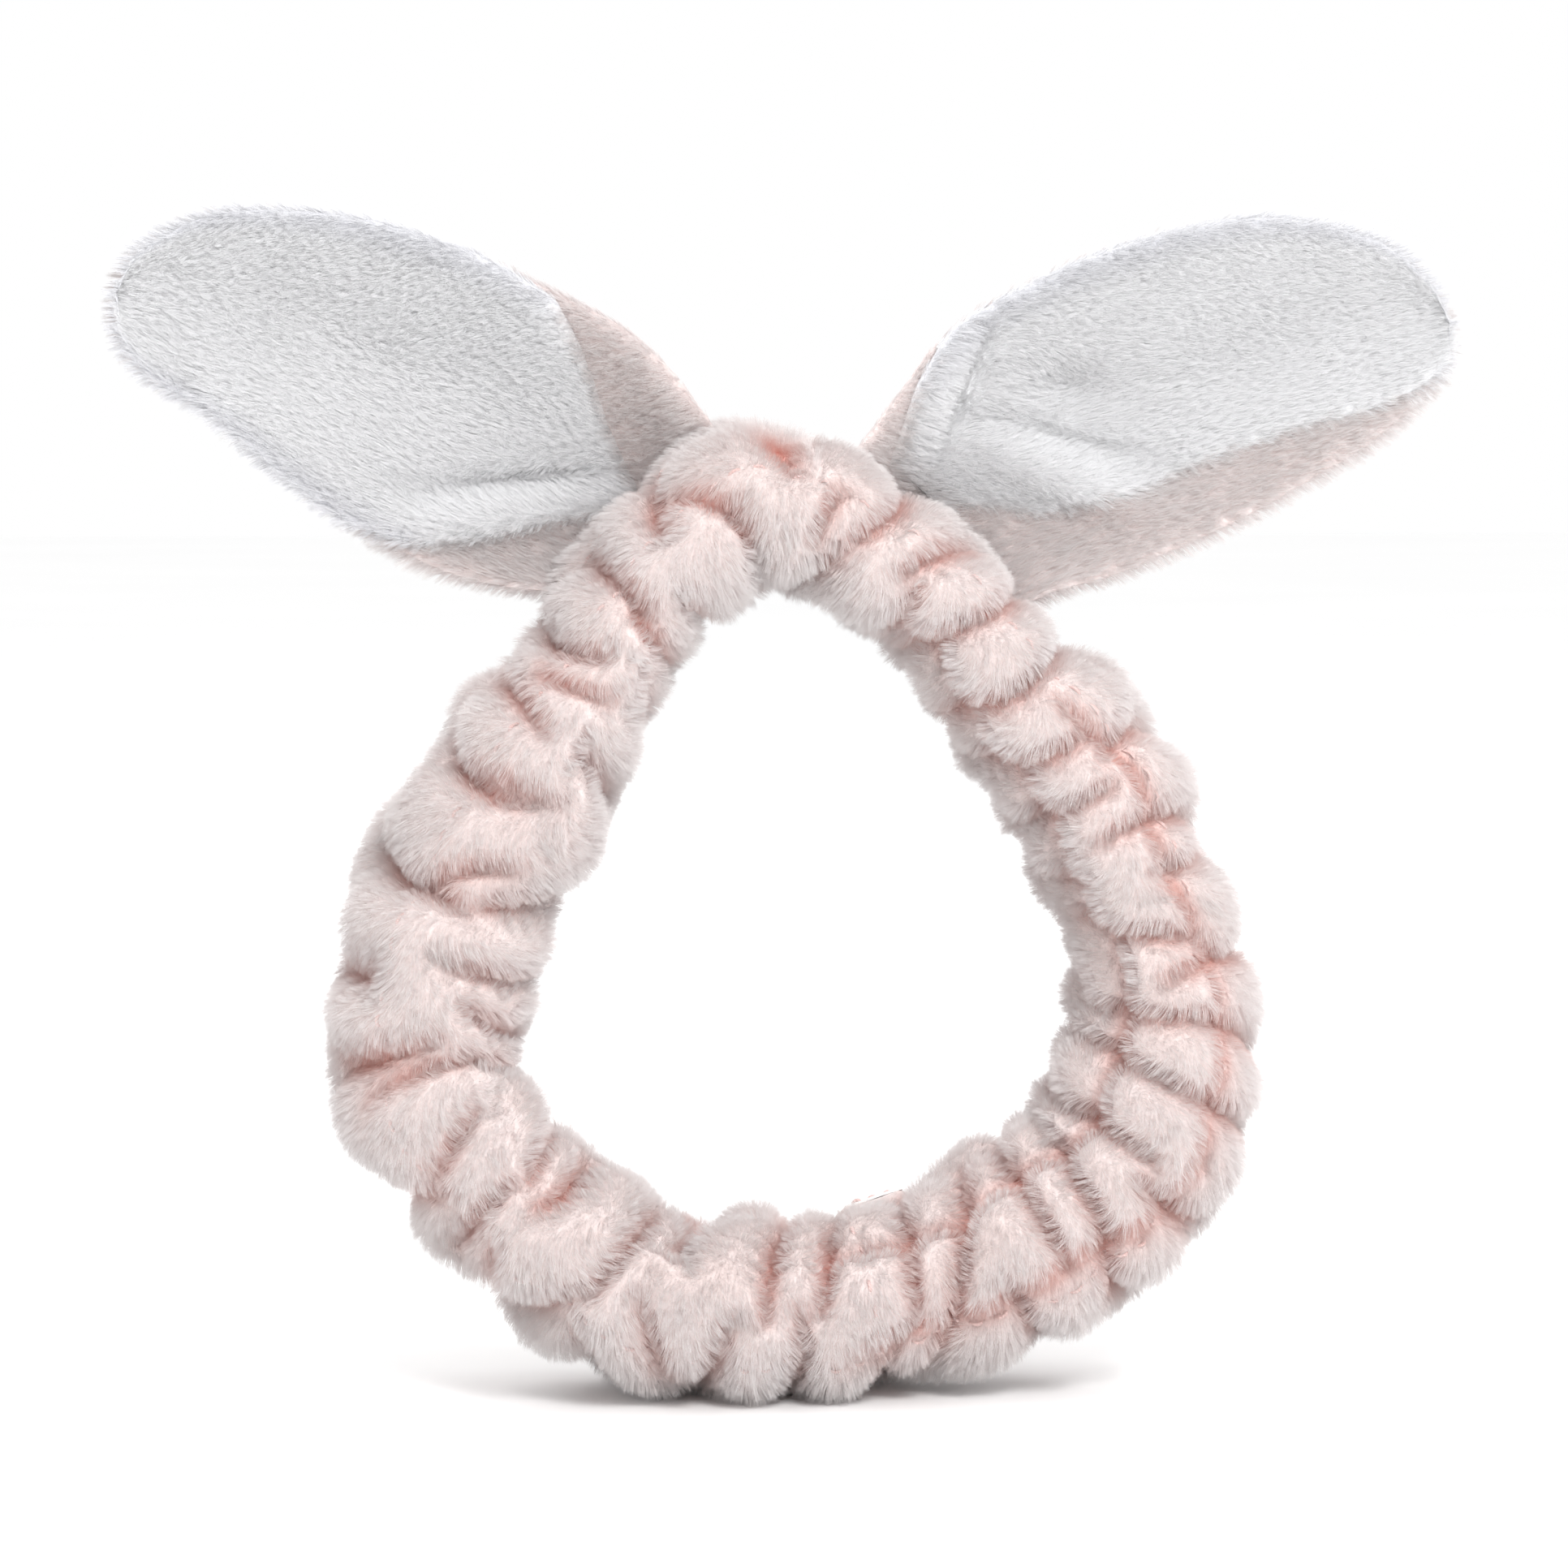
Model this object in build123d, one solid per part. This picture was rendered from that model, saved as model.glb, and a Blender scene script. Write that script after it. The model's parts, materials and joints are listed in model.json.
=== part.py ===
"""Plush spa headband with two soft ears.

A fleece sleeve is gathered over a flat elastic loop. Each ear is two fleece panels sewn round a
wadding sheet, with its base rolled into a seam bead and tacked to the top of the sleeve.

Frame, in millimetres: the origin is at the middle of the head opening, +Z points to the ears, -Y to
the front that faces out when it is worn, and X across. The band's loop lies in the XZ plane.
"""

from build123d import *
from math import atan, cos, degrees, radians, sin, sqrt, tan
import os

# Loop: the closed centre line of the band, a pear shape that narrows towards the ears.
loop_width = 145.0  # between the two cheek corners
loop_top = 86.0  # height of the sharp corner over the rounded top
loop_floor = -76.0  # height of the straight run at the nape

# Sleeve: oval tube of gathered fleece round the loop.
sleeve_depth = 56.0  # front to back
sleeve_thickness = 35.0  # from the head outwards
sleeve_wall = 4.0
seam_place = 125.0  # angle of the long seam round the oval, from the back edge outwards
seam_pitch = 5.0
end_seam_count = 24

# Elastic: flat strip inside the sleeve, joined by a sewn lap at the nape.
elastic_width = 25.0
elastic_thickness = 1.2
elastic_inset = 6.0  # from the centre line towards the head
lap_length = 18.0
lap_rows = 2
lap_stitches_per_row = 7
lap_stitch_lean = 0.6  # sideways run of each zigzag stitch for one of depth

# Care label: blank satin tab on the head side of the sleeve, sewn down beside the end seam.
label_width = 12.0
label_length = 16.0
label_thickness = 0.5
label_side = 2.0  # from the end seam to the label's near edge
label_back = 11.0  # from the loop's plane back to its near end
label_gap = 0.1
label_stitch_count = 4
label_stitch_length = 2.1
label_seam_inset = 1.5  # from the label's near edge to its stitches

# Ears, each drawn flat and then cupped towards the front.
ear_length = 99.0  # from the base seam to the tip
ear_width = 58.0
ear_base_width = 40.0
ear_rise = 21.0  # angle of the long axis above level
ear_seat_along = 30.0  # from the loop's top corner down the flank
ear_seat_back = 12.0  # behind the loop's plane
cup_radius = 75.0
cup_axis_height = 4.0  # above the ear's long axis
panel_thickness = 2.5
wadding_thickness = 4.0
rim_width = 3.5  # of the seam allowance round the wadding
base_gap = 1.0  # between the rolled base seam and the hollow for the wadding
bead_radius = 4.5  # of the rolled base seam
bead_clearance = 0.3
wadding_clearance = 0.1
rim_stitch_pitch = 5.0
pleat_height = 14.0  # of the stitches that hold the base pleat, above the base seam
pleat_spacing = 5.0
pleat_stitch_count = 3
flop_forward = 35.0  # degrees each ear can fold to the front
flop_back = 60.0  # and to the back
flop_margin = 5.0  # kept free at both ends

# Thread.
thread_radius = 0.35
stitch_length = 3.0
tack_pitch = 5.0
tack_reach = 7.5  # from the bead's axis to each row of tacks

# Corners of the loop's right half from the top down: share of the half width, share of the height
# above the floor, and the rounding radius as a share of the width.
LOOP_CORNERS = [
    (0.0, 1.0, 0.165),
    (0.727, 0.681, 0.46),
    (1.0, 0.351, 0.30),
    (0.872, 0.175, 0.24),
    (0.353, 0.0, 0.38),
]

# Points of the ear's edge from the upper base corner round the tip to the lower one: share of the
# length, and share of the width above the long axis.
EAR_EDGE = [
    (0.21, 0.57),
    (0.55, 0.57),
    (0.89, 0.33),
    (1.0, -0.04),
    (0.82, -0.29),
    (0.46, -0.42),
]

FAR = 400.0  # longer than the whole object, for cutting tools
HALF = ear_length + ear_width  # reaches past an ear from its middle


def loop_points():
    """The loop's corners, right side down and left side up, with their radii."""
    height = loop_top - loop_floor
    right = [(x * loop_width / 2, loop_floor + z * height, r * loop_width) for x, z, r in LOOP_CORNERS]
    left = [(-x, z, r) for x, z, r in reversed(right[1:])]
    return right + left


def loop_wire():
    corners = loop_points()
    points = [Vector(x, 0, z) for x, z, _ in corners]
    return Wire(FilletPolyline(*points, radius=[r for _, _, r in corners], close=True).edges())


LOOP = loop_wire()
BACK = Vector(0, 1, 0)


def share_near(point):
    """How far round the loop the place nearest to a point is, from 0 to 1."""
    return LOOP.param_at_point(LOOP.closest_points(point)[0])


NAPE = share_near(Vector(0, 0, loop_floor))


def outward_at(tangent, point):
    """Unit vector in the loop's plane, away from the head."""
    across = tangent.cross(BACK).normalized()
    middle = Vector(0, 0, (loop_top + loop_floor) / 2)
    return across if across.dot(point - middle) > 0 else -across


def on_sleeve(share, angle, sink=0.0):
    """Point on the sleeve's skin, with its directions along the loop and round the oval.

    share runs round the loop from 0 to 1; angle turns round the oval from the back edge outwards."""
    point, along = LOOP.position_at(share), LOOP.tangent_at(share)
    out = outward_at(along, point)
    half_depth = sleeve_depth / 2 - sink
    half_thick = sleeve_thickness / 2 - sink
    t = radians(angle)
    place = point + BACK * (half_depth * cos(t)) + out * (half_thick * sin(t))
    around = (out * (half_thick * cos(t)) - BACK * (half_depth * sin(t))).normalized()
    return place, along, around


def oval_ring(inset):
    """The oval tube round the whole loop, its skin moved in by inset."""
    start, along = LOOP.position_at(0), LOOP.tangent_at(0)
    plane = Plane(origin=start, x_dir=BACK, z_dir=along)
    oval = plane * Ellipse(sleeve_depth / 2 - inset, sleeve_thickness / 2 - inset)
    return sweep(oval, path=LOOP)


def band_sleeve():
    return oval_ring(0) - oval_ring(sleeve_wall)


def strip_ring(inset):
    """Flat closed strip that follows the loop, its middle moved in towards the head by inset."""
    start, along = LOOP.position_at(0), LOOP.tangent_at(0)
    place = start - outward_at(along, start) * inset
    plane = Plane(origin=place, x_dir=BACK, z_dir=along)
    return sweep(plane * Rectangle(elastic_width, elastic_thickness), path=LOOP)


def elastic_loop():
    """The elastic's closed strip, with its second layer where the ends lap at the nape."""
    second = strip_ring(elastic_inset + elastic_thickness)
    lap = second & Pos(0, 0, loop_floor) * Box(lap_length, FAR, sleeve_thickness)
    return strip_ring(elastic_inset) + lap


def stitch(place, direction, length=stitch_length):
    return Plane(origin=place, z_dir=direction) * Cylinder(thread_radius, length)


def elastic_lap_stitches():
    """Zigzag rows across the lap, lying half sunk in its head side."""
    second_layer_top = elastic_inset + elastic_thickness * 3 / 2
    level = loop_floor + second_layer_top
    made = []
    for row in range(lap_rows):
        x = lap_length * ((row + 0.5) / lap_rows - 0.5)
        step = (elastic_width - stitch_length) / lap_stitches_per_row
        for i in range(lap_stitches_per_row):
            y = -elastic_width / 2 + stitch_length / 2 + step * (i + 0.5)
            lean = 1 if i % 2 else -1
            made.append(stitch(Vector(x, y, level), Vector(lap_stitch_lean * lean, 1, 0)))
    return made


def sleeve_long_seam_stitches():
    count = round(LOOP.length / seam_pitch)
    made = []
    for i in range(count):
        place, along, _ = on_sleeve((NAPE + (i + 0.5) / count) % 1.0, seam_place)
        made.append(stitch(place, along))
    return made


def sleeve_end_seam_stitches():
    made = []
    for i in range(end_seam_count):
        place, _, around = on_sleeve(NAPE, 360.0 * (i + 0.5) / end_seam_count)
        made.append(stitch(place, around))
    return made


def care_label():
    """A tab that lies on the sleeve's skin, on its head side behind the crest."""
    start, along = LOOP.position_at(0), LOOP.tangent_at(0)
    plane = Plane(origin=start, x_dir=BACK, z_dir=along)
    head_side = -1 if plane.y_dir.dot(outward_at(along, start)) > 0 else 1
    near, far = label_gap, label_gap + label_thickness
    half_depth, half_thick = sleeve_depth / 2, sleeve_thickness / 2
    shell = Ellipse(half_depth + far, half_thick + far) - Ellipse(half_depth + near, half_thick + near)
    middle = (label_back + label_length / 2, head_side * sleeve_thickness / 2)
    strip = shell & Pos(*middle) * Rectangle(label_length, sleeve_thickness)
    ring = sweep(plane * strip, path=LOOP)
    corner = (Align.MIN, Align.CENTER, Align.CENTER)
    return ring & Pos(label_side, 0, loop_floor) * Box(label_width, FAR, 2 * sleeve_thickness, align=corner)


def care_label_stitches():
    """A row along the label's near edge, through it and into the sleeve."""
    step = label_width / label_stitch_count
    y = label_back + label_seam_inset
    out = sleeve_thickness / 2 * sqrt(1 - (2 * y / sleeve_depth) ** 2)
    made = []
    for i in range(label_stitch_count):
        share = share_near(Vector(label_side + step * (i + 0.5), 0, loop_floor))
        point, along = LOOP.position_at(share), LOOP.tangent_at(share)
        place = point - outward_at(along, point) * (out + label_gap + label_thickness) + BACK * y
        made.append(stitch(place, along, label_stitch_length))
    return made


# Ear seat: the frame in which the right ear is made. The flank is the straight run below the top.
TOP = Vector(0, 0, loop_top)
SHOULDER = Vector(loop_points()[1][0], 0, loop_points()[1][1])
DOWN_FLANK = (SHOULDER - TOP).normalized()
OFF_FLANK = outward_at(DOWN_FLANK, (TOP + SHOULDER) * 0.5)
SEAT_RISE = sqrt(1 - (2 * ear_seat_back / sleeve_depth) ** 2)
SEAT_SLOPE = degrees(atan(sleeve_thickness / sleeve_depth * (2 * ear_seat_back / sleeve_depth) / SEAT_RISE))
BEAD_LIFT = bead_radius + bead_clearance


def hinge_centre():
    """Middle of the bead's axis, one bead radius and its clearance off the sleeve's skin."""
    skin_out = sleeve_thickness / 2 * SEAT_RISE
    back = ear_seat_back + BEAD_LIFT * sin(radians(SEAT_SLOPE))
    out = skin_out + BEAD_LIFT * cos(radians(SEAT_SLOPE))
    return TOP + DOWN_FLANK * ear_seat_along + OFF_FLANK * out + BACK * back


HINGE = hinge_centre()
LONG_AXIS = Vector(cos(radians(ear_rise)), 0, sin(radians(ear_rise)))
EAR = Plane(origin=HINGE, x_dir=LONG_AXIS, z_dir=-BACK)
BASE_IN_EAR = EAR.to_local_coords(HINGE + DOWN_FLANK)


def ear_face(inset):
    """The ear's outline in its own plane, moved in by inset."""
    length, width, base = ear_length - inset, ear_width - 2 * inset, ear_base_width - 2 * inset
    low = Vector(BASE_IN_EAR.X, BASE_IN_EAR.Y) * (base / 2)
    points = [-low] + [Vector(u * length, v * width) for u, v in EAR_EDGE] + [low]
    edge = Spline(*points)
    return make_face([edge, Line(low, -low)])


def cup(low, high):
    """Part of a tube along the ear, from low to high behind the ear's middle surface."""
    tube = Cylinder(cup_radius + high, FAR) - Cylinder(cup_radius + low, FAR)
    return Pos(0, cup_axis_height, cup_radius) * Rot(0, 90, 0) * tube


def keep_zone(lift):
    """Wedge that opens from the bead's axis, or lift above it, and clears the sleeve as the ear folds."""
    front = radians(90 - SEAT_SLOPE - flop_forward - flop_margin)
    rear = radians(90 + SEAT_SLOPE - flop_back - flop_margin)
    sheet = Plane(origin=HINGE + OFF_FLANK * lift, x_dir=BACK, z_dir=BACK.cross(OFF_FLANK))
    outline = Polyline((0, 0), (HALF * tan(rear), HALF), (-HALF * tan(front), HALF), close=True)
    return extrude(sheet * make_face(outline), amount=HALF, both=True)


def layer(low, high, inset=0.0, lift=0.0):
    """One cupped layer of the ear, in the object's frame."""
    slab = extrude(ear_face(inset), amount=cup_radius, both=True) & cup(low, high)
    return (EAR * slab) & keep_zone(lift)


def bead(radius):
    return Plane(origin=HINGE, z_dir=DOWN_FLANK) * Cylinder(radius, ear_base_width - 2 * panel_thickness)


HALF_WADDING = wadding_thickness / 2
HALF_EAR = HALF_WADDING + panel_thickness
BASE_LIFT = bead_radius + base_gap


def ear_front_panel():
    return layer(-HALF_EAR, -HALF_WADDING) - bead(bead_radius)


def ear_back_panel():
    """The back panel with its turned rim, which meets the front panel, and the rolled base seam."""
    tray = layer(-HALF_WADDING, HALF_EAR)
    hollow = layer(-HALF_WADDING, HALF_WADDING, rim_width, BASE_LIFT)
    return tray - hollow + bead(bead_radius)


def ear_wadding():
    room = wadding_clearance
    sheet = layer(-HALF_WADDING + room, HALF_WADDING - room, rim_width + room, BASE_LIFT + room)
    return sheet - bead(bead_radius + room)


def ear_rim_stitches():
    """Stitches in the rim, along the seam between the two panels."""
    edge = ear_face(rim_width / 2).face().outer_wire()
    count = round(edge.length / rim_stitch_pitch)
    made = []
    for i in range(count):
        flat, along = edge.position_at((i + 0.5) / count), edge.tangent_at((i + 0.5) / count)
        across = flat.Y - cup_axis_height
        radius = cup_radius - HALF_WADDING
        depth = sqrt(radius**2 - across**2)
        tip = Vector(along.X, along.Y, along.Y * across / depth)
        place = EAR.from_local_coords(Vector(flat.X, flat.Y, cup_radius - depth))
        direction = EAR.from_local_coords(tip) - HINGE
        off = (place - HINGE).dot(OFF_FLANK)
        if off > BASE_LIFT + rim_width:
            made.append(stitch(place, direction))
    return made


def ear_pleat_stitches():
    """Short rods through all three layers, where the pleat in the base is caught."""
    made = []
    for i in range(pleat_stitch_count):
        shift = (i - (pleat_stitch_count - 1) / 2) * pleat_spacing
        place = HINGE + OFF_FLANK * pleat_height + DOWN_FLANK * shift
        made.append(stitch(place, BACK, 2 * HALF_EAR + 2 * thread_radius))
    return made


def ear_tack_stitches():
    """Two rows in the sleeve, in front of and behind the bead, where the ear is sewn down."""
    half_depth, half_thick = sleeve_depth / 2, sleeve_thickness / 2
    along_skin = tack_reach * cos(radians(SEAT_SLOPE))
    count = int((ear_base_width - stitch_length) / tack_pitch)
    made = []
    for side in (-1, 1):
        y = ear_seat_back + side * along_skin
        out = half_thick * sqrt(1 - (y / half_depth) ** 2)
        for i in range(count):
            shift = (i - (count - 1) / 2) * tack_pitch
            place, along = skin_near_flank(ear_seat_along + shift, y, out)
            made.append(stitch(place, along))
    return made


def skin_near_flank(down, y, out):
    """Point of the skin nearest to a distance down the flank, and the loop's direction there."""
    share = share_near(TOP + DOWN_FLANK * down)
    point, along = LOOP.position_at(share), LOOP.tangent_at(share)
    return point + outward_at(along, point) * out + BACK * y, along


def write(name, shape):
    """One STEP file for each node: a single solid, or a group of equal ones."""
    group = shape if isinstance(shape, list) else shape.solids()
    export_step(Compound(children=list(group)), f"parts/{name}.step")


def write_ear_node(name, shape):
    """The right ear's node as made, and the left ear's as its mirror image."""
    group = shape if isinstance(shape, list) else shape.solids()
    write(f"right_{name}", list(group))
    write(f"left_{name}", [mirror(solid, about=Plane.YZ) for solid in group])


os.makedirs("parts", exist_ok=True)
write("band_sleeve", band_sleeve())
write("elastic_loop", elastic_loop())
write("elastic_lap_stitches", elastic_lap_stitches())
write("sleeve_long_seam_stitches", sleeve_long_seam_stitches())
write("sleeve_end_seam_stitches", sleeve_end_seam_stitches())
write("care_label", care_label())
write("care_label_stitches", care_label_stitches())
write_ear_node("ear_front_panel", ear_front_panel())
write_ear_node("ear_back_panel", ear_back_panel())
write_ear_node("ear_wadding", ear_wadding())
write_ear_node("ear_rim_stitches", ear_rim_stitches())
write_ear_node("ear_pleat_stitches", ear_pleat_stitches())
write_ear_node("ear_tack_stitches", ear_tack_stitches())
print("loop length", round(LOOP.length, 1), "hinge", HINGE, "axis", DOWN_FLANK)
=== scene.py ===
"""Looks of the plush spa headband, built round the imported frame. Lengths in the lists are millimetres.

The gathered sleeve is a tube of fleece with its creases laid out by rule. Cloth simulation then fills
the puffs between the creases. The ears are padded panels, and pile covers everything that is fleece.
"""

import json
import math

import bmesh
import bpy
import numpy as np
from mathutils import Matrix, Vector


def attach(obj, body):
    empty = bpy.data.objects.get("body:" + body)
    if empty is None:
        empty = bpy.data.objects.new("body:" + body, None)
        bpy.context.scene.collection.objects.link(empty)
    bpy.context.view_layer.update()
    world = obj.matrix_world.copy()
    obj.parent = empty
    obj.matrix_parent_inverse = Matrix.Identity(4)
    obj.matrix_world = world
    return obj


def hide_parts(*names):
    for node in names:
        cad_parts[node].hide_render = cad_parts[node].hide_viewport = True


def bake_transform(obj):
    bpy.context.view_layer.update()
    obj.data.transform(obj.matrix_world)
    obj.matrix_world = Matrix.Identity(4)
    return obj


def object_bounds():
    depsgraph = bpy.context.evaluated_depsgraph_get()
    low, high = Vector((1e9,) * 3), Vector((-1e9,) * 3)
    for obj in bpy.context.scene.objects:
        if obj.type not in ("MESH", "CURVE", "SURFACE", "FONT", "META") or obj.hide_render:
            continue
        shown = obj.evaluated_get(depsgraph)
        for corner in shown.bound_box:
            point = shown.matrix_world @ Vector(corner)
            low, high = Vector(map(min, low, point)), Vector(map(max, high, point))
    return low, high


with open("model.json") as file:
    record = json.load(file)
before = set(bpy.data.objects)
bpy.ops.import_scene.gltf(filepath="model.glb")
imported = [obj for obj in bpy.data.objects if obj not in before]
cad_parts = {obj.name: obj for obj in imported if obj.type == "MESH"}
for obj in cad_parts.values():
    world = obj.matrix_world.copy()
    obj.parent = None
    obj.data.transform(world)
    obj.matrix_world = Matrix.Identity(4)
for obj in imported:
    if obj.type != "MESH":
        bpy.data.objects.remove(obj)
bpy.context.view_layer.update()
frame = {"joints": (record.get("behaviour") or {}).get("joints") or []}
MM = 0.001
SIM_SCALE = 10.0  # the cloth solver works on a model ten times as large

# Middle of the sleeve, clockwise from the top as seen from the front: x, z and half its thickness.
SLEEVE_LOOP = [
    (-7, 76.5, 10), (21, 62, 9), (37, 43, 10), (53, 26, 12), (63, 4, 12),
    (69, -17, 13.5), (67, -34, 15.5), (57, -53, 15.5), (36, -65.5, 14), (12, -74, 14),
    (-12, -75, 12.5), (-33, -71, 13), (-55, -54, 12.5), (-70, -34, 14), (-70, -12, 14),
    (-63, 8, 13.5), (-54, 24, 13.5), (-44, 40, 11.5), (-33, 57, 9), (-21, 70, 9.5),
]
SLEEVE_HALF_DEPTH = 24.0
MEAN_HALF_THICKNESS = 12.5
SECTION_SQUARENESS = 2.4
RING_STEPS = 320
GIRTH_STEPS = 78
DEEPEST_CREASE = 9.5
PUFF_HEIGHT = 2.2
LONG_SEAM_PLACE = 8.0
ELASTIC_WIDTH, ELASTIC_THICKNESS = 25.0, 1.2
ELASTIC_LEVEL, LAP_LEVEL = -0.3, -0.42  # out from the loop, against half the sleeve's thickness
LAP_LENGTH = 18.0
PILE_LENGTH, EAR_PILE_LENGTH = 2.9, 2.3
SLEEVE_STRANDS, EAR_STRANDS = 80000, 14000
STRAND_CHILDREN = 9
LABEL_ROWS, LABEL_COLUMNS = 13, 17
LABEL_WIDTH, LABEL_LENGTH = 12.0, 16.0
LABEL_RUN = 208.0  # along the loop from the top, clockwise from the front
LABEL_PLACE = -48.0  # round the tube from its front edge, towards the head
NAPE_RUN = 217.0
EAR_RISE = 21.0  # angle of an ear's long axis over level

rng = np.random.default_rng(11)


# ---------------------------------------------------------------- shared helpers


def wrap(distance, period):
    """Signed shortest distance on a closed line."""
    return (distance + period / 2) % period - period / 2


def smooth_path(points, count, closed=True):
    """Evenly spaced points of a Catmull-Rom curve through a few."""
    p = np.array(points, float)
    n = len(p) if closed else len(p) - 1
    t = np.linspace(0, 1, 48, endpoint=False)[:, None]
    spans = []
    for i in range(n):
        if closed:
            a, b, c, d = p[i - 1], p[i], p[(i + 1) % n], p[(i + 2) % n]
        else:
            a, b, c, d = p[max(i - 1, 0)], p[i], p[i + 1], p[min(i + 2, n)]
        cubic = (3 * b - 3 * c + d - a) * t**3 + (2 * a - 5 * b + 4 * c - d) * t**2
        spans.append(0.5 * (cubic + (c - a) * t + 2 * b))
    line = np.vstack([*spans, p[:1] if closed else p[-1:]])
    run = np.concatenate([[0], np.cumsum(np.linalg.norm(np.diff(line, axis=0), axis=1))])
    at = np.linspace(0, run[-1], count, endpoint=not closed)
    return np.stack([np.interp(at, run, line[:, k]) for k in range(line.shape[1])], 1), run[-1]


def grid_faces(rows, columns, closed_rows):
    """Quads of a tube whose columns close round it, with its rows open or closed."""
    index = np.arange(rows * columns).reshape(rows, columns)
    nearer = index if closed_rows else index[:-1]
    further = np.roll(index, -1, 0) if closed_rows else index[1:]
    corners = [nearer, further, np.roll(further, -1, 1), np.roll(nearer, -1, 1)]
    return np.stack(corners, -1).reshape(-1, 4)


def make_mesh(name, points, faces, smooth=True):
    """An object with outward faces, from points in millimetres."""
    mesh = bpy.data.meshes.new(name)
    mesh.from_pydata((np.asarray(points).reshape(-1, 3) * MM).tolist(), [], [list(f) for f in faces])
    mesh.validate()
    piece = bpy.data.objects.new(name, mesh)
    bpy.context.scene.collection.objects.link(piece)
    if signed_volume(mesh) < 0:
        mesh.flip_normals()
    mesh.polygons.foreach_set("use_smooth", [smooth] * len(mesh.polygons))
    return piece


def signed_volume(mesh):
    mesh.calc_loop_triangles()
    corners = np.zeros(len(mesh.loop_triangles) * 3, int)
    mesh.loop_triangles.foreach_get("vertices", corners)
    a, b, c = vertices(mesh)[corners.reshape(-1, 3)].transpose(1, 0, 2)
    return float(np.einsum("ij,ij->", a, np.cross(b, c)))


def vertices(mesh):
    flat = np.zeros(len(mesh.vertices) * 3, np.float32)
    mesh.vertices.foreach_get("co", flat)
    return flat.reshape(-1, 3).astype(float)


def set_vertices(mesh, points):
    mesh.vertices.foreach_set("co", np.asarray(points, np.float32).ravel())
    mesh.update()


def puff_up(piece, pins, slack, pressure, frames, most):
    """Fills a pinned skin by cloth simulation.

    slack is the extra cloth, as a share, and most is the furthest that a point moves, in millimetres."""
    mesh = piece.data
    start = vertices(mesh)
    set_vertices(mesh, start * SIM_SCALE)
    group = piece.vertex_groups.new(name="pins")
    for i in np.nonzero(pins > 0.01)[0]:
        group.add([int(i)], float(min(pins[i], 1.0)), "REPLACE")
    cloth = piece.modifiers.new("cloth", "CLOTH")
    cloth.point_cache.frame_end = frames
    cloth.collision_settings.use_collision = False
    fabric = cloth.settings
    fabric.quality = 6
    fabric.mass = 0.3
    fabric.vertex_group_mass = "pins"
    fabric.tension_stiffness = fabric.compression_stiffness = 15
    fabric.shear_stiffness = 7.5
    fabric.bending_stiffness = 0.6
    fabric.tension_damping = fabric.compression_damping = fabric.shear_damping = 8
    fabric.shrink_min = fabric.shrink_max = -slack
    fabric.use_pressure = True
    fabric.uniform_pressure_force = pressure
    fabric.effector_weights.gravity = 0
    for step in range(1, frames + 1):
        bpy.context.scene.frame_set(step)
    result = piece.evaluated_get(bpy.context.evaluated_depsgraph_get()).data
    move = vertices(result) / SIM_SCALE - start
    far = np.linalg.norm(move, axis=1, keepdims=True) / MM
    piece.modifiers.remove(cloth)
    piece.vertex_groups.remove(group)
    set_vertices(mesh, start + move * np.minimum(1, most / np.maximum(far, 1e-9)))
    bpy.context.scene.frame_set(1)


def apply_subdivision(piece, levels=1):
    """Subdivides for good, with vertex groups and attributes kept."""
    modifier = piece.modifiers.new("finer", "SUBSURF")
    modifier.levels = modifier.render_levels = levels
    modifier.uv_smooth = "NONE"
    finer = bpy.data.meshes.new_from_object(piece.evaluated_get(bpy.context.evaluated_depsgraph_get()))
    piece.modifiers.remove(modifier)
    finer.name = piece.name
    piece.data = finer
    finer.polygons.foreach_set("use_smooth", [True] * len(finer.polygons))


def set_attribute(mesh, name, values):
    layer = mesh.attributes.new(name, "FLOAT", "POINT")
    layer.data.foreach_set("value", np.asarray(values, np.float32).ravel())


def get_attribute(mesh, name):
    values = np.zeros(len(mesh.vertices), np.float32)
    mesh.attributes[name].data.foreach_get("value", values)
    return values


def weigh(piece, name, values):
    """A vertex group with the given weights."""
    group = piece.vertex_groups.new(name=name)
    levels = np.round(np.clip(values, 0, 1) * 20).astype(int)
    for level in range(1, 21):
        group.add(np.nonzero(levels == level)[0].tolist(), level / 20, "REPLACE")


def paint_strand_shade(piece, values):
    """Gives the strands a colour layer of painted shade to read, since they cannot read a point attribute."""
    mesh = piece.data
    layer = mesh.color_attributes.new("depth", "BYTE_COLOR", "CORNER")
    corners = np.zeros(len(mesh.loops), int)
    mesh.loops.foreach_get("vertex_index", corners)
    shade = np.clip(values, 0, 1)[corners]
    rgba = np.stack([shade, shade, shade, np.ones_like(shade)], 1)
    layer.data.foreach_set("color", rgba.astype(np.float32).ravel())


def tuft(piece, height, size):
    """Presses the pile's tufts into the surface, as bumps a few millimetres across."""
    texture = bpy.data.textures.new(f"{piece.name}_tufts", "CLOUDS")
    texture.noise_scale = size * MM
    texture.noise_depth = 2
    modifier = piece.modifiers.new("tufts", "DISPLACE")
    modifier.texture = texture
    modifier.texture_coords = "LOCAL"
    modifier.strength = height * MM
    modifier.mid_level = 0.5
    shaped = bpy.data.meshes.new_from_object(piece.evaluated_get(bpy.context.evaluated_depsgraph_get()))
    piece.modifiers.remove(modifier)
    piece.data = shaped


# ---------------------------------------------------------------- gathered sleeve


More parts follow.
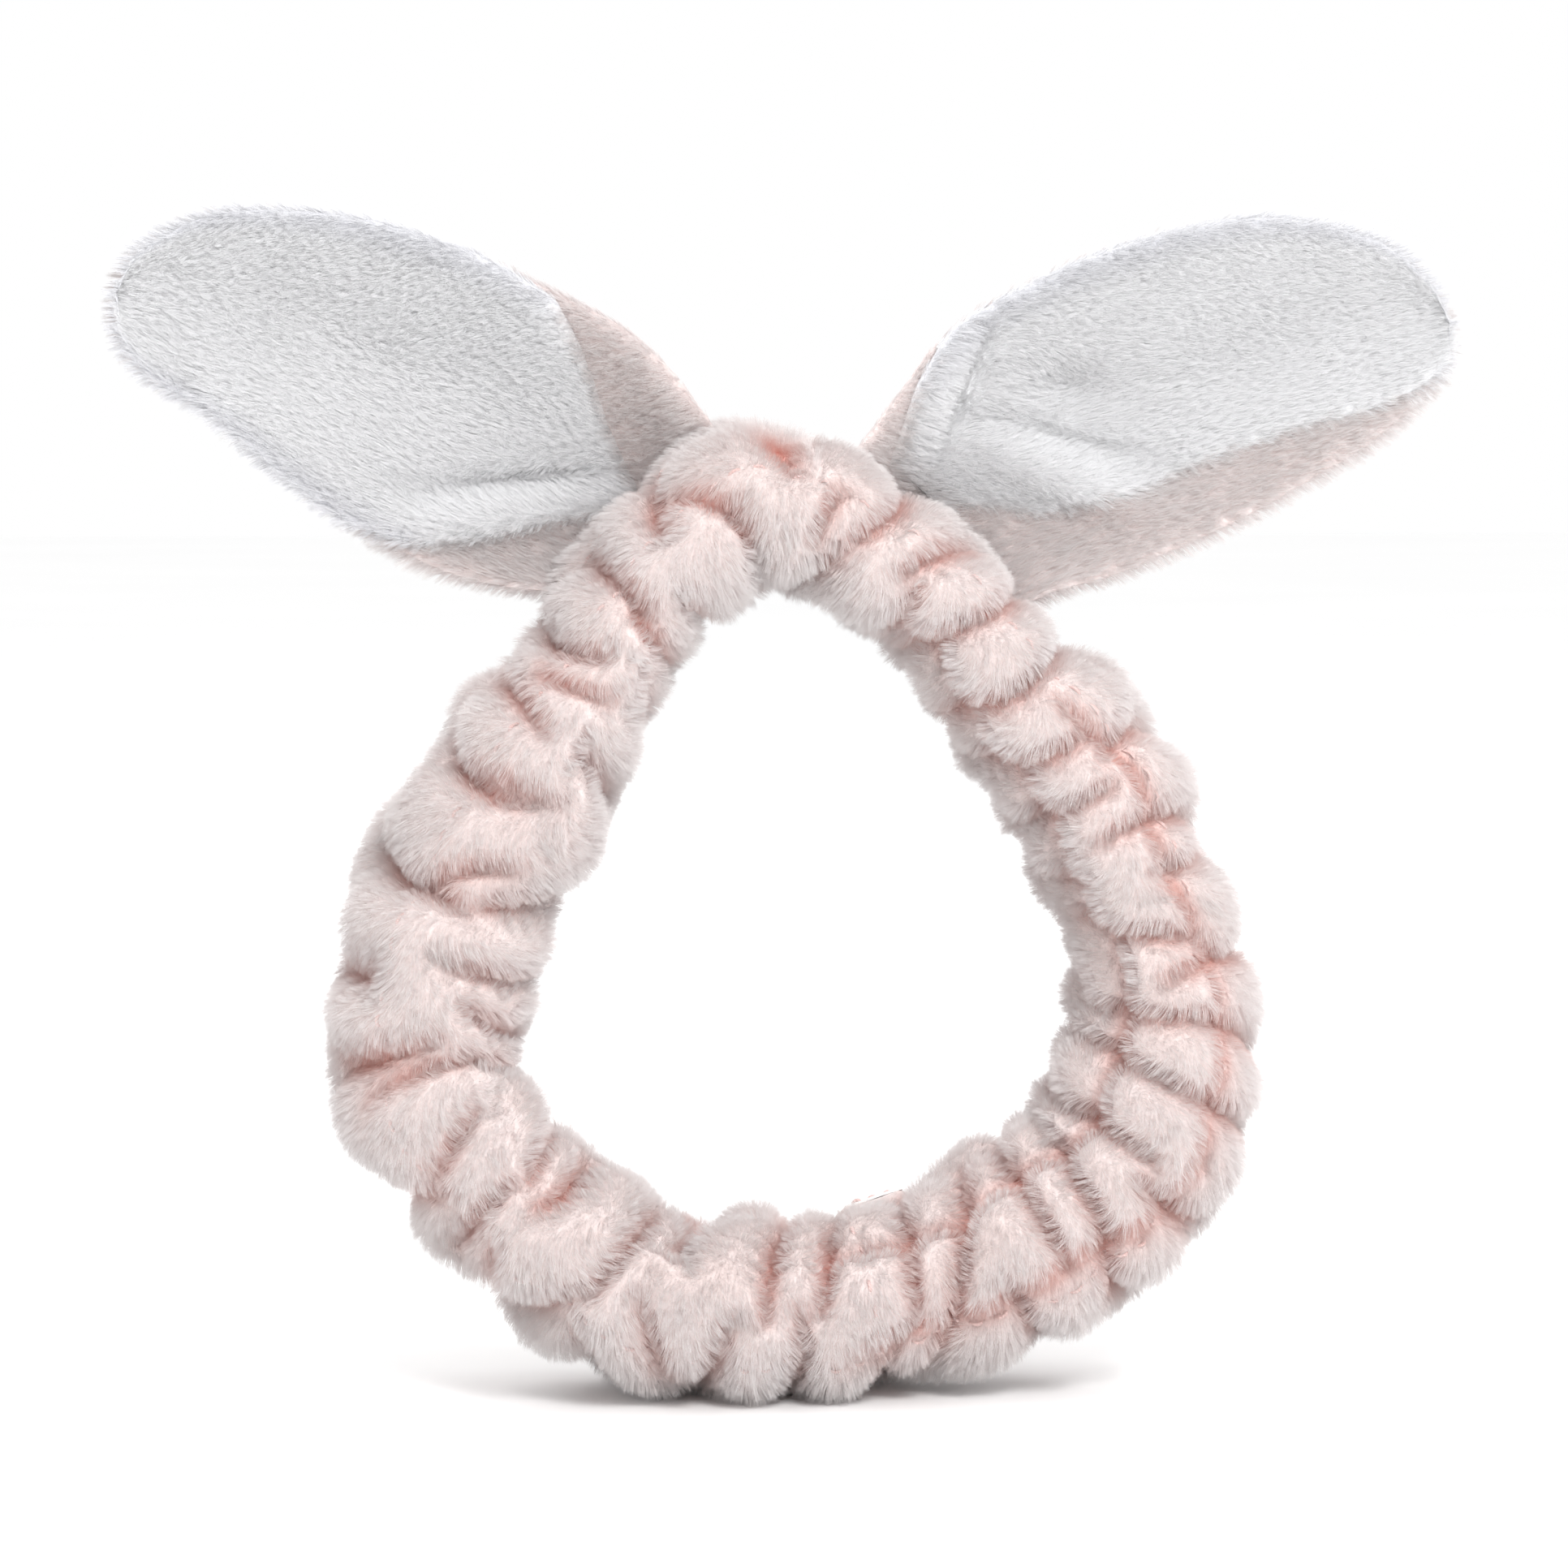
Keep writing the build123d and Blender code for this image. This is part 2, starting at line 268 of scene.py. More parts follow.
def sleeve_section():
    """Points (depth, outward), normals and place round the girth of the sleeve's cross-section.

    It is drawn at its mean thickness, and stretched outward to fit each place of the loop."""
    turn = np.linspace(0, 2 * np.pi, 4001)
    c, s = np.cos(turn), np.sin(turn)
    n = SECTION_SQUARENESS
    reach = (np.abs(c / SLEEVE_HALF_DEPTH) ** n + np.abs(s / MEAN_HALF_THICKNESS) ** n) ** (-1 / n)
    run = np.concatenate([[0], np.cumsum(np.hypot(np.diff(reach * c), np.diff(reach * s)))])
    girth = run[-1]
    at = np.arange(GIRTH_STEPS) / GIRTH_STEPS * girth
    depth, out = np.interp(at, run, reach * c), np.interp(at, run, reach * s)
    step_depth = np.roll(depth, -1) - np.roll(depth, 1)
    step_out = np.roll(out, -1) - np.roll(out, 1)
    size = np.hypot(step_depth, step_out)
    # The front edge is place 0. Places over 0 are on the outer side and under 0 on the head side.
    place = wrap(np.interp(np.pi, turn, run) - at, girth)
    return depth, out, step_out / size, -step_depth / size, place, girth


class Creases:
    """Height of the sleeve's skin over its plain tube, and how far down a crease each point lies; that depth
    also sets the painted shade in the creases.
    """

    def __init__(self, run, place, length, girth):
        self.run, self.place = np.meshgrid(run, place, indexing="ij")
        self.length, self.girth = length, girth
        self.height = np.zeros(self.run.shape)
        self.depth = np.zeros(self.run.shape)

    def fold(self, run, place, span, slope, depth, width, bow):
        """One crease that runs span round the tube and drifts slope along it."""
        round_tube = wrap(self.place - place, self.girth)
        along = wrap(self.run - run - slope * round_tube - bow * round_tube**2 / span, self.length)
        along /= math.hypot(1, slope)
        fade = np.clip(1 - (2 * round_tube / span) ** 2, 0, 1) ** 0.75
        self.height -= depth * fade * np.exp(-np.abs(along) / width)
        # Painted shade: the crease's depth darkens the fleece and its pile along it.
        self.depth = np.maximum(self.depth, fade * np.exp(-((along / 2.1) ** 2)) * min(1, depth / 5))

    def rows(self, start, stop, pitch, lanes, slope, depth, width, reach, jitter):
        """Staggered creases, pitch apart, in lanes round the tube."""
        count = max(1, round((stop - start) / pitch))
        lane_width = self.girth / lanes
        for lane in range(lanes):
            middle = -self.girth / 2 + (lane + 0.5) * lane_width
            for i in range(count):
                run = start + (i + 0.5 * (lane % 2) + rng.normal() * 0.28 * jitter) * (stop - start) / count
                self.fold(
                    run,
                    middle + rng.normal() * lane_width * 0.14,
                    lane_width * reach * rng.uniform(0.75, 1.25),
                    slope + rng.normal() * 0.22 * jitter,
                    depth * (1 + jitter * rng.uniform(-0.4, 0.25)),
                    width * rng.uniform(0.8, 1.25),
                    rng.normal() * 0.25,
                )

    def patch(self, run, place, half_run, half_place):
        """1 over a rectangle of the skin, and 0 away from it."""
        off_run = (half_run + 2 - np.abs(wrap(self.run - run, self.length))) / 3
        off_place = (half_place + 2 - np.abs(wrap(self.place - place, self.girth))) / 3
        return np.clip(off_run, 0, 1) * np.clip(off_place, 0, 1)

    def seam(self, start, stop, place, depth, width):
        """A long wavy crease where the sleeve's edges are sewn together."""
        wave = place + 1.5 * np.sin(self.run / 17.0) + 0.9 * np.sin(self.run / 6.1 + 1)
        away = wrap(self.place - wave, self.girth)
        middle, half = (start + stop) / 2, (stop - start) / 2
        fade = np.clip((half - np.abs(wrap(self.run - middle, self.length))) / 10, 0, 1)
        self.height -= depth * fade * np.exp(-np.abs(away) / width)
        # Painted shade along the seam too, through its depth.
        self.depth = np.maximum(self.depth, 0.75 * fade * np.exp(-((away / 1.9) ** 2)))


def make_sleeve():
    loop, length = smooth_path(SLEEVE_LOOP, RING_STEPS)
    for _ in range(8):
        loop = (np.roll(loop, 1, 0) + 2 * loop + np.roll(loop, -1, 0)) / 4
    loop, half_thickness = loop[:, :2], loop[:, 2]
    along = np.roll(loop, -1, 0) - np.roll(loop, 1, 0)
    along /= np.linalg.norm(along, axis=1)[:, None]
    outward = np.stack([-along[:, 1], along[:, 0]], 1)
    if ((loop - loop.mean(0)) * outward).sum() < 0:
        outward = -outward
    depth, out, normal_depth, normal_out, place, girth = sleeve_section()
    if (normal_depth * depth + normal_out * out).sum() < 0:
        normal_depth, normal_out = -normal_depth, -normal_out
    run = np.arange(RING_STEPS) / RING_STEPS * length

    creases = Creases(run, place, length, girth)
    creases.rows(20, 245, pitch=14, lanes=4, slope=0.12, depth=8.5, width=1.9, reach=1.2, jitter=0.6)
    creases.seam(60, 225, place=6, depth=3.0, width=2.0)
    creases.seam(30, 225, place=-13, depth=8.0, width=2.2)
    left = (245, length + 20)
    creases.rows(*left, pitch=16, lanes=4, slope=0.15, depth=8.5, width=2.1, reach=1.0, jitter=0.9)
    creases.rows(*left, pitch=26, lanes=3, slope=-0.25, depth=4.0, width=1.8, reach=0.5, jitter=1.0)
    flat = creases.patch(LABEL_RUN, LABEL_PLACE, LABEL_WIDTH / 2 + 2, LABEL_LENGTH / 2 + 2)
    full = half_thickness / MEAN_HALF_THICKNESS
    on_edge = np.broadcast_to((depth / SLEEVE_HALF_DEPTH) ** 2, creases.height.shape)
    deepest = np.where(out < 0, 0.5 * half_thickness[:, None], 6.5 + (DEEPEST_CREASE - 6.5) * on_edge)
    near_top = np.exp(-((wrap(creases.run - 5, length) / 32) ** 2)) * np.clip(creases.place / 20, 0, 1)
    height = -deepest * np.tanh(-creases.height / deepest) * (1 - flat) * (1 - 0.6 * near_top)
    # Painted shade also darkens wherever the skin lies deep, and none lies on the label's flat patch.
    creases.depth = np.maximum(creases.depth, np.clip((-height - 2.0) / 5, 0, 1)) * (1 - flat)
    turn = 2 * np.pi * run / length
    swell = 0.5 * np.cos(5 * turn + 1) + 0.5 * np.cos(9 * turn + 2.2)
    height = height + PUFF_HEIGHT + swell[:, None] * (1 - flat)

    lean = 0.25  # how far a fold leans along the loop as it goes down
    points = on_section(depth, out, normal_depth, normal_out, height, full, loop, outward)
    points += np.stack([along[:, :1] * lean * height, 0 * height, along[:, 1:] * lean * height], -1)
    sleeve = make_mesh("fleece_sleeve", points, grid_faces(RING_STEPS, GIRTH_STEPS, True))
    # The "crease" attribute carries this depth, which paints shade into the fleece's colour.
    set_attribute(sleeve.data, "crease", creases.depth)
    set_attribute(sleeve.data, "flat", flat)
    on_elastic = (out < 0) & (np.abs(depth) < 5)
    pins = np.maximum(np.clip((creases.depth - 0.25) / 0.35, 0, 1), flat)
    pins[:, on_elastic] = 1
    puff_up(sleeve, pins.ravel(), slack=0.12, pressure=6, frames=24, most=4)
    skin = vertices(sleeve.data).reshape(RING_STEPS, GIRTH_STEPS, 3) / MM
    apply_subdivision(sleeve)
    tuft(sleeve, height=0.8, size=2.2)
    path = {"loop": loop, "half": half_thickness, "outward": outward}
    path |= {"skin": skin, "place": place, "run": run}
    return sleeve, path, (depth, out, normal_depth, normal_out)


def on_section(depth, out, normal_depth, normal_out, height, full, loop, outward):
    """Points of the tube at a height over its section, for every step of the loop."""
    far_out = out[None, :] * full[:, None] + normal_out[None, :] * height
    far_back = depth[None, :] + normal_depth[None, :] * height
    return beside_loop(loop, outward, far_out, far_back)


def beside_loop(loop, outward, far_out, far_back):
    """Points a distance out from the loop and back from its plane."""
    x = loop[:, :1] + outward[:, :1] * far_out
    z = loop[:, 1:] + outward[:, 1:] * far_out
    return np.stack([x, far_back, z], -1)


def make_strip(name, path, rows, level, width, thickness, ribs=12):
    """Flat woven strip inside the sleeve, level times the half thickness out from the loop."""
    loop, outward = path["loop"][rows], path["outward"][rows]
    across = np.linspace(-width / 2, width / 2, ribs * 2 + 1)
    rib = 0.12 * np.cos(np.arange(ribs * 2 + 1) * np.pi)
    depth = np.concatenate([across, across[::-1]])
    rise = np.concatenate([thickness / 2 + rib, -thickness / 2 - rib])
    out = level * path["half"][rows][:, None] + rise[None, :]
    points = beside_loop(loop, outward, out, np.broadcast_to(depth, out.shape))
    closed = len(rows) == RING_STEPS
    faces = grid_faces(len(rows), len(depth), closed)
    if not closed:
        points, faces = close_ends(points, faces)
    return make_mesh(name, points, faces)


def label_sheets(path, section, width, length):
    """Upper and lower face of the label, laid over a stretch of the tube."""
    rise, thickness = 0.3, 0.5
    run = LABEL_RUN + np.linspace(-width / 2, width / 2, LABEL_ROWS)
    place = LABEL_PLACE + np.linspace(-length / 2, length / 2, LABEL_COLUMNS)
    order = np.argsort(path["place"])
    side = [np.interp(place, path["place"][order], values[order]) for values in section]
    loop = np.stack([np.interp(run, path["run"], path["loop"][:, k]) for k in (0, 1)], 1)
    outward = np.stack([np.interp(run, path["run"], path["outward"][:, k]) for k in (0, 1)], 1)
    full = np.interp(run, path["run"], path["half"]) / MEAN_HALF_THICKNESS
    ripple = 0.15 * np.sin(np.linspace(0, 5, LABEL_ROWS))
    wave = ripple[:, None] * np.linspace(0.2, 1, LABEL_COLUMNS)[None, :]
    sheets = []
    for face in (1, -1):
        height = PUFF_HEIGHT + rise + wave + face * thickness / 2
        sheets.append(on_section(*side, height, full, loop, outward))
    return sheets


def make_label(path, section):
    """Blank satin tab that lies along the sleeve's head side, beside the end seam."""
    middle = sum(label_sheets(path, section, LABEL_WIDTH, LABEL_LENGTH)) / 2
    wide, long = (np.linalg.norm(np.diff(middle, axis=k), axis=-1).sum(k).mean() for k in (0, 1))
    # The skin is larger than the loop it is drawn on, so the label is drawn smaller to come out at its size.
    upper, lower = label_sheets(path, section, LABEL_WIDTH**2 / wide, LABEL_LENGTH**2 / long)
    points = np.concatenate([upper, lower[:, ::-1]], 1)
    points, faces = close_ends(points, grid_faces(points.shape[0], points.shape[1], False))
    return make_mesh("satin_label", points, faces, smooth=False)


def stitch_run(name, lines, pitch=5.0, length=3.0, radius=0.35, lift=0.15):
    """Short bowed threads, evenly spaced along lines of points in millimetres."""
    points, faces = [], []
    stations = np.linspace(0, 1, 7)
    for line, rise in lines:
        run = np.concatenate([[0], np.cumsum(np.linalg.norm(np.diff(line, axis=0), axis=1))])
        for middle in np.arange(pitch / 2, run[-1] - length / 2, pitch):
            at = middle + (stations - 0.5) * length
            core = np.stack([np.interp(at, run, line[:, k]) for k in range(3)], 1)
            up = np.stack([np.interp(at, run, rise[:, k]) for k in range(3)], 1)
            bow = np.sin(np.pi * stations)
            core = core + up * ((lift + 0.3) * bow - 0.3)[:, None]
            ahead = core[-1] - core[0]
            side = np.cross(ahead / np.linalg.norm(ahead), up)
            turn = np.arange(8) / 8 * 2 * np.pi
            ring = np.cos(turn)[None, :, None] * up[:, None] + np.sin(turn)[None, :, None] * side[:, None]
            thick = radius * np.clip(bow * 2.5, 0.25, 1)
            skin = core[:, None] + ring * thick[:, None, None]
            tube, tube_faces = close_ends(skin, grid_faces(len(stations), len(turn), False))
            faces += [[corner + len(points) for corner in face] for face in tube_faces]
            points += tube.tolist()
    return make_mesh(name, points, faces)


def outward_of(line, middle):
    """Unit directions from a middle point to each point of a line."""
    away = line - middle
    return away / np.linalg.norm(away, axis=1)[:, None]


# ---------------------------------------------------------------- ears

# Edges of each ear from its base to its tip, (along the ear, across it), measured from the base seam.
EAR_EDGES = {
    "left": {
        "upper": [
            (-27, 9), (-16, 16), (-4, 24), (8, 29), (24, 31),
            (43, 31.5), (64, 29.5), (86, 22), (97, 10), (98.5, 1),
        ],
        "lower": [
            (-9, -24), (1, -22), (12, -24.5), (26, -26), (44, -23),
            (60, -18.5), (76, -13), (88, -11), (95, -6), (98.5, 1),
        ],
    },
    "right": {
        "upper": [
            (-31, 10), (-19, 17), (-9, 23), (4, 30), (22, 33),
            (44, 33), (68, 28.5), (86, 17.5), (93, 6), (94, -3),
        ],
        "lower": [
            (-9, -25), (3, -23), (16, -24.5), (30, -24.5), (46, -23.5),
            (60, -21.5), (74, -19), (86, -14), (92, -9), (94, -3),
        ],
    },
}
EAR_ROWS = 120
EAR_COLUMNS = 96


def ear_frame(side):
    """Hinge centre and unit axes of an ear: along it, across it and to the back, in millimetres."""
    joint = next(j for j in frame["joints"] if j["name"] == f"{side}_ear_flop")
    hand = 1 if side == "right" else -1
    rise = math.radians(EAR_RISE)
    along = np.array([hand * math.cos(rise), 0, math.sin(rise)])
    across = np.array([-hand * math.sin(rise), 0, math.cos(rise)])
    return np.array(joint["pos_m"]) / MM, along, across, np.array([0, 1.0, 0])


def ear_surface(side, share, cross):
    """Middle surface of an ear, and half its width.

    share runs from base to tip, and cross from the lower edge, -1, to the upper, 1."""
    edges = EAR_EDGES[side]
    upper, _ = smooth_path(edges["upper"], 200, closed=False)
    lower, _ = smooth_path(edges["lower"], 200, closed=False)
    grid = np.linspace(0, 1, 200)
    up = np.stack([np.interp(share, grid, upper[:, k]) for k in (0, 1)], -1)
    low = np.stack([np.interp(share, grid, lower[:, k]) for k in (0, 1)], -1)
    flat = (up + low) / 2 + (up - low) / 2 * cross[..., None]
    return flat, np.linalg.norm(up - low, axis=-1) / 2


def dent(u, v, at, size, turn=0.0):
    """Smooth round or long dent, 1 at its middle."""
    c, s = math.cos(math.radians(turn)), math.sin(math.radians(turn))
    x, y = (u - at[0]) * c + (v - at[1]) * s, -(u - at[0]) * s + (v - at[1]) * c
    return np.exp(-((x / size[0]) ** 2) - (y / size[1]) ** 2)


def ear_depth(side, u, v, share, cross):
    """How far back the middle surface of an ear lies: it is cupped to the front, tightest at the base."""
    sag = 6.0 + 7.0 * np.exp(-((share / 0.22) ** 2)) - 2.5 * share
    depth = -sag * np.abs(cross) ** 2.2 + 2.0
    if side == "left":
        depth += 4.5 * dent(u, v, (15, -5), (15, 3.0), -27)
        depth -= 3.5 * dent(u, v, (17, -12), (16, 4.0), -27)
        depth += 2.5 * dent(u, v, (50, 8), (26, 12))
        depth += 2.0 * dent(u, v, (80, -14), (5, 6))
    else:
        depth += 6.0 * dent(u, v, (1, 20), (13, 2.4), 47)
        depth += 4.0 * dent(u, v, (20, 13), (9, 6), -20)
        depth += 3.0 * dent(u, v, (14, 5), (15, 3), -35)
        depth -= 3.5 * dent(u, v, (13, -3), (16, 4.5), -41)
        depth += 2.0 * dent(u, v, (55, 4), (24, 11))
    return depth


def white_limits(side, share):
    """Where the white panel's lower and upper edges lie across the ear, from -1 to 1."""
    u = ear_surface(side, share, 0 * share)[0][..., 0]
    if side == "left":
        low = np.interp(u, [-8, 3, 13, 26, 40, 98], [0.05, -0.35, -0.7, -0.93, -1.03, -1.03])
        high = np.interp(u, [-8, -3, 8, 19, 28, 45, 98], [0.05, 0.2, 0.42, 0.72, 0.95, 1.03, 1.03])
    else:
        low = np.interp(u, [-8, 4, 23, 38, 63, 80, 94], [0.1, -0.4, -0.56, -0.55, -0.64, -0.78, -0.97])
        high = np.interp(u, [-14, -8, 2, 12, 94], [0.5, 0.7, 0.92, 1.0, 1.03])
    return low, high


def ear_tube(side, share_range, half_front, half_back, limits=None, lift=0.0, overhang=0.0):
    """Closed padded form over part of an ear's middle surface, as points of a tube with its ends drawn in.

    Also gives each point's share, place across the ear, and side: 1 at the front and -1 at the back."""
    centre, along, across, back = ear_frame(side)
    turn = np.arange(EAR_COLUMNS) / EAR_COLUMNS * 2 * np.pi
    ends = 0.5 - 0.5 * np.cos(np.linspace(0, np.pi, EAR_ROWS))
    first, last = share_range
    share = first + (last - first) * (0.35 * ends + 0.65 * np.linspace(0, 1, EAR_ROWS))
    share, turn = np.meshgrid(share, turn, indexing="ij")
    cross = np.cos(turn)
    if limits is not None:
        low, high = limits(side, share)
        cross = (low + high) / 2 + (high - low) / 2 * cross
    flat, half_width = ear_surface(side, share, cross)
    u, v = flat[..., 0] + overhang * np.clip((share - 0.8) / 0.2, 0, 1), flat[..., 1]
    side_of = np.sin(turn)
    swell = np.sign(side_of) * np.abs(side_of) ** 0.8
    narrow = np.clip(half_width / 9.0, 0, 1) ** 0.6
    at_root = np.clip((share - first) / 0.06, 0, 1) ** 0.5 if limits is not None else 1.0
    thick = np.where(side_of > 0, half_front, half_back) * narrow * at_root
    y = ear_depth(side, u, v, share, cross) - lift - swell * thick
    points = centre + u[..., None] * along + v[..., None] * across + y[..., None] * back
    return points, share, cross, side_of


def close_ends(points, faces):
    """Adds a middle point to each end of a tube, and the triangles that close it."""
    rows, columns = points.shape[:2]
    flat = points.reshape(-1, 3)
    caps = np.vstack([points[0].mean(0), points[-1].mean(0)])
    count = len(flat)
    extra = []
    for j in range(columns):
        k = (j + 1) % columns
        extra.append((j, k, count))
        extra.append(((rows - 1) * columns + k, (rows - 1) * columns + j, count + 1))
    return np.vstack([flat, caps]), [*faces, *extra]


def make_ear_piece(name, points, hairy, rim):
    """One fleece piece of an ear. hairy is 1 where its pile grows and 0 where another piece covers it.

    rim is 1 along the edge, where the pile stands alone; there painted shade darkens the ground and the pile."""
    points, faces = close_ends(points, grid_faces(points.shape[0], points.shape[1], False))
    piece = make_mesh(name, points, faces)
    set_attribute(piece.data, "hairy", [*hairy.ravel(), hairy[0].mean(), hairy[-1].mean()])
    # The "crease" attribute here carries the rim's painted shade.
    set_attribute(piece.data, "crease", [*rim.ravel(), rim[0].mean(), rim[-1].mean()])
    weld(piece)
    apply_subdivision(piece)
    tuft(piece, height=0.5, size=1.8)
    weigh(piece, "hairy", get_attribute(piece.data, "hairy"))
    paint_strand_shade(piece, get_attribute(piece.data, "crease"))
    return piece


def weld(piece, reach=0.02):
    """Joins points that meet, as at an ear's tip."""
    mesh = bmesh.new()
    mesh.from_mesh(piece.data)
    bmesh.ops.remove_doubles(mesh, verts=mesh.verts, dist=reach * MM)
    mesh.to_mesh(piece.data)
    mesh.free()
    piece.data.polygons.foreach_set("use_smooth", [True] * len(piece.data.polygons))


def make_ear(side):
    """The pink back, the white panel on its front, the wadding inside and the stitches of the two seams."""
    *_, back = ear_frame(side)
    points, share, cross, side_of = ear_tube(side, (0, 1), 3.0, 4.5)
    low, high = white_limits(side, share)
    under_white = (side_of > -0.1) & (cross > low + 0.02) & (cross < high - 0.02) & (share > 0.12)
    skin = make_ear_piece(f"{side}_ear_back", points, 1.0 - under_white, 0 * share)
    points, share, cross, side_of = ear_tube(
        side, (0.09, 1), 1.6, 2.0, limits=white_limits, lift=2.4, overhang=1.5
    )
    # Painted shade along the white panel's edges and tip.
    rim = np.clip((np.abs(cross) - 0.8) / 0.15, 0, 1)
    rim = np.maximum(rim, np.clip((share - 0.96) / 0.03, 0, 1))
    front = make_ear_piece(f"{side}_ear_front", points, 1.0 * (side_of > -0.35), rim)
    upper, lower = points[4:-3, 0] + 1.4 * back, points[4:-3, EAR_COLUMNS // 2] + 1.4 * back
    rise = np.broadcast_to(-back, upper.shape)
    seam = stitch_run(f"{side}_ear_rim_thread", [(upper, rise), (lower, rise)])
    filling, *_ = ear_tube(side, (0.1, 0.97), 1.4, 2.6, limits=filling_limits)
    filling, faces = close_ends(filling, grid_faces(EAR_ROWS, EAR_COLUMNS, False))
    wadding = make_mesh(f"{side}_ear_filling", filling, faces)

    pleat = make_pleat(side, points, side_of)
    return skin, front, wadding, seam, pleat


def filling_limits(_, share):
    """The wadding stops short of both edges of its ear."""
    return -0.88 + 0 * share, 0.88 + 0 * share


# Middle and direction of each ear's base pleat, (along, across) and degrees.
PLEATS = {"left": ((12, -3), -27), "right": ((1, 20), 47)}


def make_pleat(side, points, side_of):
    """Three stitches across the pleat at an ear's base."""
    _, along, across, back = ear_frame(side)
    valley, angle = PLEATS[side]
    crossing = np.array([-math.sin(math.radians(angle)), math.cos(math.radians(angle))])
    lines = []
    for step in (-1, 0, 1):
        middle = np.array(valley) + 5.0 * step * np.array([crossing[1], -crossing[0]])
        spot = nearest_front(side, points, side_of, middle)
        half = 1.6 * (crossing[0] * along + crossing[1] * across)
        line = np.stack([spot - half, spot - 0.3 * back, spot + half])
        lines.append((line, np.broadcast_to(-back, line.shape)))
    return stitch_run(f"{side}_ear_pleat_thread", lines, pitch=3.2)


def nearest_front(side, points, side_of, spot):
    """Point of an ear's front skin at a place (along, across) on the ear."""
    centre, along, across, _ = ear_frame(side)
    flat = np.stack([(points - centre) @ along, (points - centre) @ across], -1)
    far = np.linalg.norm(flat - spot, axis=-1) + 1000.0 * (side_of < 0.3)
    return points[np.unravel_index(np.argmin(far), far.shape)]


# ---------------------------------------------------------------- materials


def new_material(name):
    material = bpy.data.materials.new(name)
    material.use_nodes = True
    nodes, links = material.node_tree.nodes, material.node_tree.links
    return material, nodes, links, nodes["Principled BSDF"]


def mix(nodes, links, factor, a, b):
    """A colour mix. factor, a and b are sockets or values."""
    node = nodes.new("ShaderNodeMix")
    node.data_type = "RGBA"
    for socket, value in ((node.inputs["Factor"], factor), (node.inputs[6], a), (node.inputs[7], b)):
        if isinstance(value, bpy.types.NodeSocket):
            links.new(value, socket)
        else:
            socket.default_value = value
    return node.outputs[2]


def noise(nodes, links, size, detail, stretch=(1, 1, 1)):
    """Noise whose features are size millimetres across."""
    place = nodes.new("ShaderNodeTexCoord")
    mapping = nodes.new("ShaderNodeMapping")
    mapping.inputs["Scale"].default_value = stretch
    texture = nodes.new("ShaderNodeTexNoise")
    texture.inputs["Scale"].default_value = 1 / (size * MM)
    texture.inputs["Detail"].default_value = detail
    links.new(place.outputs["Object"], mapping.inputs["Vector"])
    links.new(mapping.outputs["Vector"], texture.inputs["Vector"])
    return texture.outputs["Fac"]


def spread(nodes, links, value, low, high):
    """Stretches a value from low..high to 0..1."""
    node = nodes.new("ShaderNodeMapRange")
    node.inputs["From Min"].default_value = low
    node.inputs["From Max"].default_value = high
    links.new(value, node.inputs["Value"])
    return node.outputs["Result"]


def fleece(name, light, mid, painted_shade):
    """The ground of coral fleece under its pile: mottled, with painted shade in a deeper colour down in the
    creases and along the white ears' rims.
    """
    material, nodes, links, shader = new_material(name)
    broad = spread(nodes, links, noise(nodes, links, 14, 3), 0.35, 0.65)
    fine = spread(nodes, links, noise(nodes, links, 1.6, 4), 0.3, 0.7)
    colour = mix(nodes, links, broad, light, mid)
    colour = mix(nodes, links, fine, colour, mid)
    # Painted shade: the colour darkens where the "crease" attribute is high.
    crease = nodes.new("ShaderNodeAttribute")
    crease.attribute_name = "crease"
    colour = mix(nodes, links, crease.outputs["Fac"], colour, painted_shade)
    links.new(colour, shader.inputs["Base Color"])
    shader.inputs["Roughness"].default_value = 0.95
    shader.inputs["Sheen Weight"].default_value = 0.35
    shader.inputs["Sheen Roughness"].default_value = 0.4
    bump = nodes.new("ShaderNodeBump")
    bump.inputs["Strength"].default_value = 0.5
    bump.inputs["Distance"].default_value = 0.8 * MM
    links.new(fine, bump.inputs["Height"])
    links.new(bump.outputs["Normal"], shader.inputs["Normal"])
    return material


def threads(name, light, dark, pitch, roughness, stretch=(1, 1, 1), bump_depth=0.1):
    """Woven or twisted threads: fine bands of two shades with a bump, pitch millimetres apart."""
    material, nodes, links, shader = new_material(name)
    place = nodes.new("ShaderNodeTexCoord")
    mapping = nodes.new("ShaderNodeMapping")
    mapping.inputs["Scale"].default_value = stretch
    wave = nodes.new("ShaderNodeTexWave")
    wave.bands_direction = "DIAGONAL"
    wave.inputs["Scale"].default_value = 0.314 / (pitch * MM)
    wave.inputs["Distortion"].default_value = 1.5
    wave.inputs["Detail"].default_value = 2
    links.new(place.outputs["Object"], mapping.inputs["Vector"])
    links.new(mapping.outputs["Vector"], wave.inputs["Vector"])
    cloudy = spread(nodes, links, noise(nodes, links, 5, 3), 0.3, 0.7)
    shade = mix(nodes, links, cloudy, light, dark)
    links.new(mix(nodes, links, wave.outputs["Fac"], dark, shade), shader.inputs["Base Color"])
    shader.inputs["Roughness"].default_value = roughness
    shader.inputs["Sheen Weight"].default_value = 0.3
    bump = nodes.new("ShaderNodeBump")
    bump.inputs["Distance"].default_value = bump_depth * MM
    links.new(wave.outputs["Fac"], bump.inputs["Height"])
    links.new(bump.outputs["Normal"], shader.inputs["Normal"])
    return material


